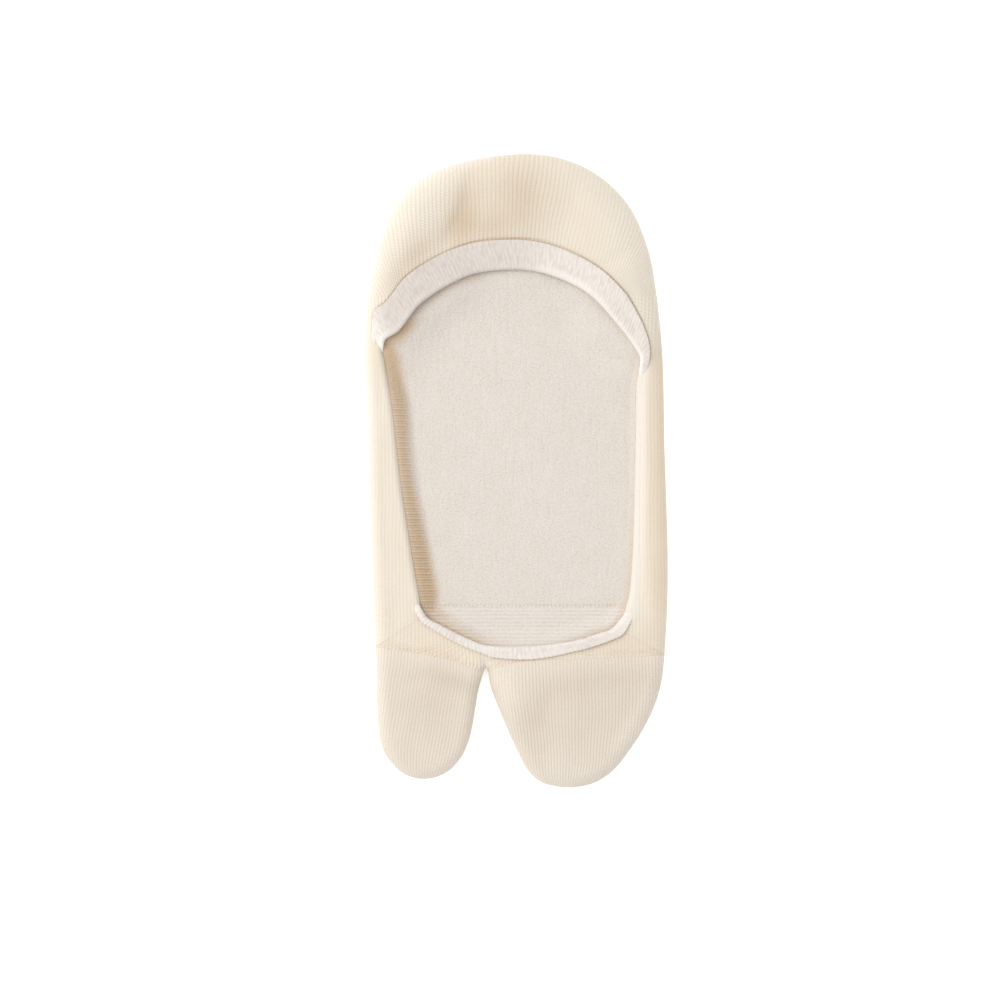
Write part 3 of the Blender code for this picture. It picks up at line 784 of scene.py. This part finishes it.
def linkToes(grid, shade):
    # Raises the loops and sinks the holes in place, each row a bell across the seam times a cosine along
    # it whose turns drift. The holes are smaller towards the little toe. Gives back the shade with the
    # holes in it.
    x = grid[..., 0]
    behind = grid[..., 1] - seamY(x) + 0.22 * np.sin(x / 1.9) + 0.15 * np.sin(x / 0.83 + 1.0)
    angle = 2 * np.pi * x / seam["pitch"] + 1.3 * np.sin(x / 3.1) + 0.7 * np.sin(x / 1.4 + 2.0)
    uneven = (0.65 + 0.35 * np.sin(x / 3.7 + 2.0) * np.sin(x / 1.7)) * (1 - 0.55 * rising(x, 5.0, 15.0))
    place, width, depth = seam["holes"]
    holes = bell(behind, place, width) * (0.5 + 0.5 * np.cos(angle))**2 * uneven
    place, width, height = seam["loops"]
    edgePlace, edgeWidth, edgeShare = seam["edgeLoops"]
    loops = bell(behind, place, width) + edgeShare * bell(behind, edgePlace, edgeWidth)
    grid[..., 2] += height * loops * (0.5 - 0.5 * np.cos(angle)) - depth * holes
    return np.maximum(shade, seam["holeShade"] * holes)


def buildFootPatch(name, stations, rowCounts, isCup=False):
    # One patch of the foot: its grid gets a groove ahead of the turned edge, ribs and the toe seam's
    # stitches, then its wall. Painted shade keeps hollows and the groove dim, and painted highlight
    # lightens the right side's rolled rim and the left outer edge, which the light falls on.
    grid = footPatch(stations, rowCounts)
    edge, rim = edgeAt(stations), rimAt(stations)
    reach = np.linalg.norm(rim - edge, axis=1)
    inwards = ((grid[..., :2] - edge) * ((rim - edge) / reach[:, None])).sum(axis=-1)
    close = weltAhead(np.tile(stations, (len(grid), 1)), reach - inwards)
    close[sum(rowCounts[:3]) + 1:] = 0.0
    grid[..., 2] -= welts["grooveDepth"] * close
    wale, course = patchStitches(grid, rowCounts, isCup)
    column = np.arange(len(stations))
    atEnds = falling(np.minimum(column, column[::-1]), foot["cupEnds"], foot["cupEnds"])
    grid, normal = ribbed(grid, wale, foot["cupRib"] * (1 - 0.8 * atEnds) if isCup else foot["sideRib"])
    shade = np.clip(tinted(grid[..., :2], dimPlaces) + foot["grooveShade"] * close, 0.0, 0.9)
    if not isCup:
        shade = linkToes(grid, shade)
    x, y = grid[..., 0], grid[..., 1]
    paintedHighlight = foot["outlineHighlight"] * falling(distanceToOutline(grid[..., :2]), 3.6, 3.4) * (x < -8.0)
    if isCup:
        calm = np.maximum(0.8 * atEnds, 0.5 * bell(x, 23.0, 11.0))
    else:
        calm = np.maximum(foot["sideCalm"] * rising(y, -52.0, 18.0), 0.8 * rising(y, 24.0, 11.0))
        rolled = curlShare(stations) * (x > 10.0) * falling(reach - inwards, 5.4, 3.2)
        paintedHighlight = np.maximum(foot["rollHighlight"] * rolled, paintedHighlight)
    grid[..., 2] = np.maximum(grid[..., 2], 0.0)
    points, quads = clothShell(grid, normal)
    piece = makePiece(name, points, quads, np.stack([wale, course], axis=-1), cupKnit if isCup else bodyKnit,
                      shade, calm, paintedHighlight)
    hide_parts("foot_body")
    return piece


heelCup = buildFootPatch("heel_cup", spacedStations(foot["cupFirst"], foot["cupLast"], foot["cupColumns"]),
                         foot["cupRows"], isCup=True)
leftSide = buildFootPatch("left_side", spacedStations(leftCorner, foot["cupFirst"], foot["sideColumns"]),
                          foot["sideRows"])
rightSide = buildFootPatch("right_side", spacedStations(foot["cupLast"], count + rightCorner,
                                                        foot["sideColumns"]), foot["sideRows"])
instepFront = buildFootPatch("instep_front", spacedStations(rightCorner, leftCorner, foot["frontColumns"]),
                             foot["frontRows"])


def crowded(number, share):
    # even steps from 0 to 1, mixed with this share of steps that crowd towards both ends
    even = np.arange(number + 1) / number
    return (1 - share) * even + share * 0.5 * (1 - np.cos(np.pi * even))


def between(west, east, share, y):
    # x this share of the way from the west line to the east one, at each y
    left = np.interp(y, west[:, 1], west[:, 0])
    return left + (np.interp(y, east[:, 1], east[:, 0]) - left) * share


# The toe pockets, as sections from side to side
pockets = {
    "walePitch": 1.09,
    "coursePitch": 0.82,
    "ribHeight": 0.05,
    "along": 64,
    "tipRows": 9,
    "gather": 0.2,  # how far the wales close up as the pocket narrows, 1 for all of them running to the tip
}


def pocketGrid(line, across):
    # sections from the seam to the tip, each a closed loop: over the top from west to east, back
    # underneath
    fine = curveThrough(line, np.linspace(0, len(line) - 1, 600))
    tip = int(np.argmin(fine[:, 1]))
    one, other = fine[:tip + 1][::-1], fine[tip:]
    west, east = (one, other) if one[-1, 0] < other[-1, 0] else (other, one)
    share = crowded(across, 0.55)
    root = np.full(len(share), west[-1, 1])
    for _ in range(6):
        root = seamY(between(west, east, share, root)) - 0.02
    down = np.sin(np.radians(90 * np.arange(pockets["along"] + 1) / pockets["along"]))[:, None]
    y = root + (fine[tip, 1] - root) * down
    plan = np.stack([between(west, east, share, y), y], axis=-1)
    plan[-1, :, 0] = fine[tip, 0]
    distance = distanceToOutline(plan)
    upper, under = lifted(plan, upperHeight(plan, distance)), lifted(plan, underHeight(distance))
    for grid in (upper, under):
        grid[:, 0, 2] = grid[:, -1, 2] = grid[-1, :, 2] = cloth["foldHeight"]
    return np.concatenate([upper, under[:, -2:0:-1]], axis=1)


def buildPocket(name, node, line, across, calm, lean):
    # A tube of cloth that closes on its tip. Wales are counted from the middle of its top, gather as it
    # narrows and lean a little, and a cosine of them makes the ribs.
    grid = pocketGrid(line, across)
    ring = closeRing(grid)
    run = arcAlong(ring, 1)
    middle = slice(across // 2, across // 2 + 1)
    gather = 1 + pockets["gather"] * (run[:1, -1:] / np.maximum(run[:, -1:], 0.3 * run[0, -1]) - 1)
    wale = ((run - run[:, middle]) * gather + 0.5 * grid[:, middle, 0]) / pockets["walePitch"]
    wale = wale + foot["waver"] * wavering(ring[..., 0], ring[..., 1])
    wale = wale - lean * (ring[..., 1] + 60) / pockets["walePitch"]
    course = np.tile(arcAlong(grid, 0)[:, middle], (1, ring.shape[1])) / pockets["coursePitch"]
    outward = gridNormals(grid, closed=True, flip=True)
    # towards the tip the skins face more and more straight ahead, where the rings shrink to a point
    fromTip = np.arange(len(grid))[::-1]
    ahead = falling(fromTip, pockets["tipRows"], pockets["tipRows"])[:, None, None]
    outward = outward * (1 - ahead) + np.array((0.0, -1.0, 0.0)) * ahead
    outward = outward / np.linalg.norm(outward, axis=-1, keepdims=True)
    lift = pockets["ribHeight"] * ease(fromTip / 5.0)[:, None] * cosine(wale[:, :-1] - 0.5)
    grid = grid + outward * lift[..., None]
    grid[..., 2] = np.maximum(grid[..., 2], 0.0)
    shade = tinted(grid[..., :2], toeDimPlaces)
    # the linked seam's loops, on the top only
    x, y = grid[..., 0], grid[..., 1]
    place, width, height = seam["pocketLoops"]
    angle = 2 * np.pi * x / seam["pitch"] + 1.0
    loops = height * bell(seamY(x) - y, place, width) * (0.5 + 0.5 * np.cos(angle))
    grid[..., 2] += loops * (grid[..., 2] > cloth["foldHeight"] + 0.5)
    ring = closeRing(grid)
    points, quads = clothShell(ring, closeRing(outward), closed=True, pole=True, flip=True)
    # painted highlight on those places, and lighter towards the seam
    nearSeam = ease(1 - (seamY(ring[..., 0]) - ring[..., 1]) / 8.0)
    paintedHighlight = np.clip(tinted(ring[..., :2], toeHighlightPlaces) + 0.25 * nearSeam, 0, 1)
    piece = makePiece(name, points, quads, np.stack([wale, course], axis=-1), toeKnit,
                      closeRing(shade), calm, paintedHighlight)
    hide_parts(node)
    return piece


# Painted shade on the toes' soft hollows and slopes, given as the dents are
toeDimPlaces = (
    (6.0, -77.0, 62.0, 9.0, 4.5, 0.13), (22.0, -66.0, 10.0, 16.0, 5.0, 0.08),
    (-20.0, -66.0, 160.0, 10.0, 3.0, 0.12), (21.0, -75.0, 90.0, 14.0, 15.0, 0.13),
    (-28.0, -73.0, 90.0, 14.0, 16.0, 0.10), (7.0, -88.0, 75.0, 9.0, 5.0, 0.07),
    (34.0, -68.0, 90.0, 8.0, 6.0, 0.07), (42.0, -66.0, 90.0, 8.0, 6.0, 0.06),
)
# Painted highlight where a swell of the four toes and the big toe's outer edge face the light
toeHighlightPlaces = ((-3.0, -69.0, 103.0, 7.5, 3.5, 0.75), (-43.0, -75.0, 90.0, 18.0, 2.6, 0.35))
bigToe = buildPocket("big_toe_cloth", "big_toe_pocket", bigToeOutline, across=150, calm=0.25, lean=0.12)
fourToes = buildPocket("four_toe_cloth", "four_toe_pocket", fourToesOutline, across=230, calm=0.0, lean=-0.04)

# The sole, one sheet whose top is the insole
sole = {
    "inset": 3.0,  # from the outline, so that it ends inside the fold
    "middleZ": 0.7,  # height of its middle, and its thickness above and below that
    "above": 0.7,
    "below": 0.68,
    "across": 260,
    "along": 188,
    "riseLeft": 3.5,  # how far it climbs to the rim, as the sides' inner face
    "riseRight": 1.3,
    "riseFront": 2.9,
    "climbLeft": 6.5,  # and over what width
    "climbRight": 1.7,
    "climbFront": 5.5,
    "heelRise": 2.4,  # how far it stays up under the heel cup
    "heelRiseLeft": 2.1,  # and how much more it does at each side
    "heelRiseRight": 2.0,
    "heelIn": 6.0,  # how that fades into the mouth
    "heelBack": 26.0,  # and how far it goes back under the cup
    "loopRelief": 0.04,
    "unevenness": 0.12,
    "tan": 0.54,  # shade of the strip inside the left wall
    "tanWidth": 6.0,
    "rightShade": 0.2,
    "frontShade": 0.35,
    "heelShade": 0.05,
    "heelShadeLeft": 0.22,  # and so much more at the left
    "holeRowY": -42.7,
    "holePitch": 1.25,
    "holeWidth": 0.32,
    "holeDepth": 0.35,
    "holeShade": 0.36,
    "walePitch": 1.15,
    "coursePitch": 0.865,
    "frontCoursePitch": 1.17,  # in front of the row of holes
}


def soleGrid():
    # Plan of the sheet: rows from the toe seam to the heel, spread between the inset outline's two sides.
    # A row's share of the way comes from a density that peaks at the row of holes and at both ends.
    fine = edgeAt(np.linspace(leftCorner, count + rightCorner, 900))
    along = np.gradient(fine, axis=0)
    along /= np.linalg.norm(along, axis=1)[:, None]
    inset = fine + np.stack([along[:, 1], -along[:, 0]], axis=1) * sole["inset"]
    top = int(np.argmax(inset[:, 1]))
    west, east = inset[:top + 1], inset[top:][::-1]
    share = crowded(sole["across"], 0.15)
    root = np.full(len(share), -58.0)
    for _ in range(6):
        across = between(west, east, share, root)
        root = seamY(across) - 0.4 + 2.2 * bell(across, -9.7, 2.2)
    high, low = inset[top, 1], root.mean()
    rise = np.linspace(0, 1, 3000)
    density = 1 + 0.8 * rise**4 + 3.2 * bell(low + (high - low) * rise, sole["holeRowY"], 1.6)
    density = density + 12 * np.exp(-(1 - rise) / 0.008) + 1.2 * bell(rise, 0.0, 0.06)
    filled = np.concatenate([[0], np.cumsum(0.5 * (density[1:] + density[:-1]))])
    rise = np.interp(np.arange(sole["along"] + 1) / sole["along"], filled / filled[-1], rise)
    y = root + (high - root) * rise[:, None]
    plan = np.stack([between(west, east, share, y), y], axis=-1)
    plan[-1, :, 0] = inset[top, 0]
    return plan


def insoleSwell(x, y, inside, left, atHeel):
    # Height of the bank round the insole: a smooth climb to the rim at the sides and front, and under the
    # heel cup a Gaussian of the distance inside the mouth.
    atFront = falling(y, -38.0, 10.0)
    reachIn = sole["climbRight"] + (sole["climbLeft"] - sole["climbRight"]) * left
    reachIn = reachIn + (sole["climbFront"] - reachIn) * atFront
    riseIn = sole["riseRight"] + (sole["riseLeft"] - sole["riseRight"]) * left
    riseIn = riseIn + (sole["riseFront"] - riseIn) * atFront
    beside = (1 - ease(inside / reachIn)) * rising(inside, -2.2, 1.1)
    under = np.exp(-0.5 * (np.maximum(inside - 1.0, 0) / sole["heelIn"])**2)
    under = under * rising(inside, -sole["heelBack"], 10.0)
    heelRise = sole["heelRise"] + sole["heelRiseLeft"] * rising(-x, 8.0, 14.0)
    heelRise = heelRise + sole["heelRiseRight"] * rising(x, 12.0, 12.0)
    return riseIn * beside * (1 - atHeel) + heelRise * under * atHeel


def insoleShade(x, y, inside, right, atHeel):
    # Painted shade beside the rim, the strongest of four: the tan strip inside the left wall, which
    # widens towards the toes, a thin line at the right, the front's left half, and under the heel cup.
    low = falling(y, 6.0, 44.0)
    beside = rising(-x, 10.0, 16.0) * falling(y, 51.0, 6.0) * (1 - 0.5 * falling(y, -42.0, 6.0))
    beside = beside * (0.85 + 0.15 * ease(inside / 1.3))
    wide = sole["tanWidth"] + 2.1 * low - 2.4 * falling(y, -38.0, 7.0)
    wide = wide + 1.0 * rising(y, 6.0, 14.0) * falling(y, 44.0, 10.0)
    strip = sole["tan"] * (1.0 + 0.1 * low) * beside * falling(inside, wide, 4.2)
    line = sole["rightShade"] * right * low * falling(inside, 2.4, 1.8)
    front = sole["frontShade"] * falling(x, 2.0, 20.0) * (1 - atHeel) * falling(inside, 4.5, 4.2)
    back = sole["heelShade"] + sole["heelShadeLeft"] * rising(-x, 5.0, 14.0)
    back = atHeel * back * falling(inside, 4.8, 4.2)
    return np.maximum(np.maximum(strip, line), np.maximum(front, back))


def buildSole():
    # Closed flat sheet between the folds. Its top is the insole, with random loops, a soft unevenness and
    # the row of transferred loops, and its underside rests on the floor.
    plan = soleGrid()
    rows, columns = plan.shape[:2]
    x, y = plan[..., 0], plan[..., 1]
    row, column = np.arange(rows), np.arange(columns)
    border = np.minimum(np.minimum(column, column[::-1]), np.minimum(row, row[::-1])[:, None])
    rim = ease(border / 2.0)
    loops = seed.normal(size=plan.shape[:2])
    loops = (loops + np.roll(loops, 1, 0) + np.roll(loops, 1, 1) + np.roll(loops, -1, 0)) / 2.0
    inside = distanceInside(plan, rimAt(np.arange(0, count, 0.06)))
    atHeel = rising(y, 22.0, 20.0)
    left, right = (rising(side * x, 10.0, 16.0) * (1 - atHeel) for side in (-1, 1))
    holes = (0.5 + 0.5 * np.cos(2 * np.pi * x / sole["holePitch"]))**1.5
    holes = bell(y, sole["holeRowY"], sole["holeWidth"]) * holes
    # no terry in front of the row of holes, nor in the strip beside the left wall
    plainFront = ease((sole["holeRowY"] - y) / 0.4 + 0.5)
    plainLeft = ease((5.6 - y / 30.0 - inside - 40.0 * (1 - left)) / 1.5) * falling(y, 36.0, 20.0)
    plain = np.maximum(plainFront, plainLeft)
    relief = sole["loopRelief"] * loops * (1 - 0.7 * plain) - sole["holeDepth"] * holes
    relief += sole["unevenness"] * np.sin(x / 7.0 + 0.6 * np.sin(y / 17.0)) * np.sin(y / 23.0 + 1.0)
    swell = insoleSwell(x, y, inside, left, atHeel)
    topZ = sole["middleZ"] + (sole["above"] + relief + swell * ease(border / 8.0)) * rim
    bottomZ = sole["middleZ"] - sole["below"] * rim
    points = np.concatenate([lifted(plan, topZ).reshape(-1, 3), lifted(plan, bottomZ).reshape(-1, 3)])
    quads = np.vstack([gridFaces(rows, columns), gridFaces(rows, columns, rows * columns, flip=True)])
    behind = y - sole["holeRowY"]
    course = np.maximum(behind, 0) / sole["coursePitch"] + np.minimum(behind, 0) / sole["frontCoursePitch"]
    dim = np.maximum(insoleShade(x, y, inside, right, atHeel), sole["holeShade"] * holes)
    piece = makePiece("insole_and_sole", points, quads, np.stack([x / sole["walePitch"], course], axis=-1),
                      insoleKnit, np.stack([dim, 0 * dim]), plain)
    # the underside is plain knit
    mesh = piece.data
    mesh.materials.append(bodyKnit)
    facing = np.empty(len(mesh.polygons) * 3)
    mesh.polygons.foreach_get("normal", facing)
    mesh.polygons.foreach_set("material_index", (facing[2::3] < -0.5).astype(np.int32))
    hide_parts("foot_body")
    return piece


solePiece = buildSole()


def weltSection(width):
    # Closed section as distance from the rim and height off the cloth, for an array of widths: round the
    # bend, out along the top to a rolled free edge, and back underneath.
    width = width[:, None]
    middle, outer, free = welts["gap"] / 2, welts["bend"], welts["freeEdge"]
    bend = np.radians(np.linspace(-90, -270, 13))[None]
    turn = np.radians(np.linspace(90, -90, 9))[None]
    share = np.linspace(0, 1, 12)[None, 1:-1]
    run = outer + (width - free - outer) * share
    sag = 0.15 * np.sin(np.pi * share)**2 * rising(width, 3.0, 2.0)
    thinned = (outer - middle - 2 * free) * share**1.5
    parts = (
        (outer + outer * np.cos(bend), middle + outer * np.sin(bend)),
        (run, middle + outer - sag - thinned),
        (width - free + free * np.cos(turn), middle * 2 + free + free * np.sin(turn)),
        (run[:, ::-1], welts["gap"]),
        (outer + middle * np.cos(bend[:, ::-1]), middle + middle * np.sin(bend[:, ::-1])),
    )
    parts = [np.broadcast_arrays(*part, width)[:2] for part in parts]
    return [np.concatenate(values, axis=1) for values in zip(*parts)]


def buildWelt(name, turned):
    # The section carried along the rim, every point moved out from the cloth beneath it. Its ends sink
    # into the sides' rolled rim, and a cosine along its length makes the cross ribs.
    stations = spacedStations(*turned["span"], turned["columns"])
    outer = welts["bend"]
    over = fromTable(rimAt(stations)[:, 0], turned["over"])
    away, off = weltSection(np.maximum(widthAt(stations, turned), outer + welts["leastTurn"]) + over)
    away = away - over[:, None]
    middle = 0.15 * edgeAt(stations) + 0.85 * rimAt(stations)
    run = arcAlong(middle, 0)
    near = ease(np.minimum(run / turned["ends"][0], (run[-1] - run) / turned["ends"][1]))[:, None]
    off = off * (0.35 + 0.65 * near) - welts["endSink"] * (1 - near)
    away = away + welts["endShift"] * (1 - near)
    tiled = np.repeat(stations[:, None], away.shape[1], axis=1)
    edge, rim = edgeAt(tiled), rimAt(tiled)
    reach = np.linalg.norm(rim - edge, axis=-1)
    onCloth = np.maximum(away, outer)
    base = onUpper(tiled, reach - onCloth)
    ahead = onUpper(tiled, reach - onCloth + 0.2)
    slope = (ahead - base) / np.linalg.norm(ahead - base, axis=-1, keepdims=True)
    inward = (rim - edge) / reach[..., None]
    out = np.cross(np.stack([inward[..., 1], -inward[..., 0], np.zeros_like(reach)], axis=-1), slope)
    loops = base + slope * (onCloth - away)[..., None] + out * off[..., None]
    ribs = (run / welts["ribPitch"] + 0.25 * np.sin(run / 5.3))[:, None] + 0.10 * away
    uneven = welts["unevenness"] * (np.sin(run / 6.1) + 0.6 * np.sin(run / 2.7 + 1.3))[:, None]
    lift = turned["ribHeight"] * cosine(ribs) * ease(off / 0.8) + uneven * ease(off / 1.2)
    loops = loops + gridNormals(loops, closed=True, flip=True) * lift[..., None]
    ring = closeRing(loops)
    rows, columns = ring.shape[:2]
    number = np.repeat(run[:, None] / welts["walePitch"], columns, axis=1)
    stitches = np.stack([number, arcAlong(ring, 1)], axis=-1).reshape(-1, 2)
    points = np.vstack([ring.reshape(-1, 3), loops[0].mean(axis=0), loops[-1].mean(axis=0)])
    quads = [gridFaces(rows, columns, flip=True)]
    # Each end gets a fan to a point in the middle of its section, as quads that hold the point twice.
    # Blender drops the heel's fans, so its ends stay open. Two points there that merge would close them.
    for end, row in enumerate((0, rows - 1)):
        a = row * columns + np.arange(columns - 1)
        tip = np.full_like(a, rows * columns + end)
        fan = np.stack([a, a + 1, tip, tip], axis=1)
        quads.append(fan if end else fan[:, ::-1])
    shade = np.repeat(fromTable(stations, turned["dim"])[:, None], columns, axis=1)
    strength, atFirst, atLast = turned["endHighlight"]
    atEnds = 1 - ease(np.minimum(run / atFirst, (run[-1] - run) / atLast))
    # painted highlight on the inner fold and at the ends
    fold = falling(closeRing(away), welts["foldWidth"], 1.2)
    paintedHighlight = fold * fromTable(stations, turned["foldHighlight"])[:, None] + strength * atEnds[:, None]
    piece = makePiece(name, points, np.vstack(quads), np.vstack([stitches, stitches[[0, -1]]]), weltKnit,
                      np.append(shade, (0.0, 0.0)), 0.0, np.append(paintedHighlight, (0.0, 0.0)))
    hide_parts(turned["node"])
    return piece


heelWelt = buildWelt("heel_band", heelEdge)
frontWelt = buildWelt("front_band", frontEdge)
# Floor, light and camera: a white floor, an even sky, one large soft lamp and a camera straight above.
# Places are metres, the rest millimetres.
studio = {
    "floor": "#fbfbfb",
    "floorHalf": 3.0,
    "floorZ": -0.0001,
    "floorGlow": 0.42,  # lit from beneath, so that shadows on it stay faint
    "sky": "#ffffff",
    "skyStrength": 0.84,
    "keyPlace": (-0.78, 0.3, 1.15),
    "keySize": 0.8,
    "keyPower": 9.8,
    "keyColour": "#fffaf2",
    "cameraHeight": 1.5,
    "cameraX": -5.2,
    "cameraY": -9.2,
    "viewWidth": 316.46,
    "sensor": 36.0,
}


def buildStudio():
    # the lamp is turned to look at the origin, and the lens is as long as the view's width asks
    floorMesh = bpy.data.meshes.new("studio_floor")
    half = studio["floorHalf"]
    corners = [(x * half, y * half, studio["floorZ"]) for x, y in ((-1, -1), (1, -1), (1, 1), (-1, 1))]
    floorMesh.from_pydata(corners, [], [(0, 1, 2, 3)])
    floor = bpy.data.objects.new("studio_floor", floorMesh)
    bpy.context.collection.objects.link(floor)
    paper, _, shader = startMaterial("mattWhitePaper", 1.0, 0.0)
    shader.inputs["Base Color"].default_value = hexColour(studio["floor"])
    shader.inputs["Specular IOR Level"].default_value = 0.0
    shader.inputs["Emission Color"].default_value = hexColour(studio["floor"])
    shader.inputs["Emission Strength"].default_value = studio["floorGlow"]
    floorMesh.materials.append(paper)
    world = bpy.data.worlds.new("softRoom")
    bpy.context.scene.world = world
    world.use_nodes = True
    sky = world.node_tree.nodes["Background"]
    sky.inputs[0].default_value = hexColour(studio["sky"])
    sky.inputs[1].default_value = studio["skyStrength"]
    lamp = bpy.data.lights.new("keySoftbox", "AREA")
    lamp.shape = "SQUARE"
    lamp.size = studio["keySize"]
    lamp.energy = studio["keyPower"]
    lamp.color = hexColour(studio["keyColour"])[:3]
    key = bpy.data.objects.new("keySoftbox", lamp)
    bpy.context.collection.objects.link(key)
    key.location = studio["keyPlace"]
    x, y, z = studio["keyPlace"]
    key.rotation_euler = (np.arctan2(np.hypot(x, y), z), 0.0, np.arctan2(x, -y))
    lens = bpy.data.cameras.new("topCamera")
    lens.sensor_width = studio["sensor"]
    lens.lens = studio["sensor"] * studio["cameraHeight"] / (studio["viewWidth"] * mm)
    lens.clip_end = 20.0
    eye = bpy.data.objects.new("topCamera", lens)
    bpy.context.collection.objects.link(eye)
    eye.location = (studio["cameraX"] * mm, studio["cameraY"] * mm, studio["cameraHeight"])
    bpy.context.scene.camera = eye
    bpy.context.scene.view_settings.view_transform = "Standard"
    print("studio ready")


buildStudio()
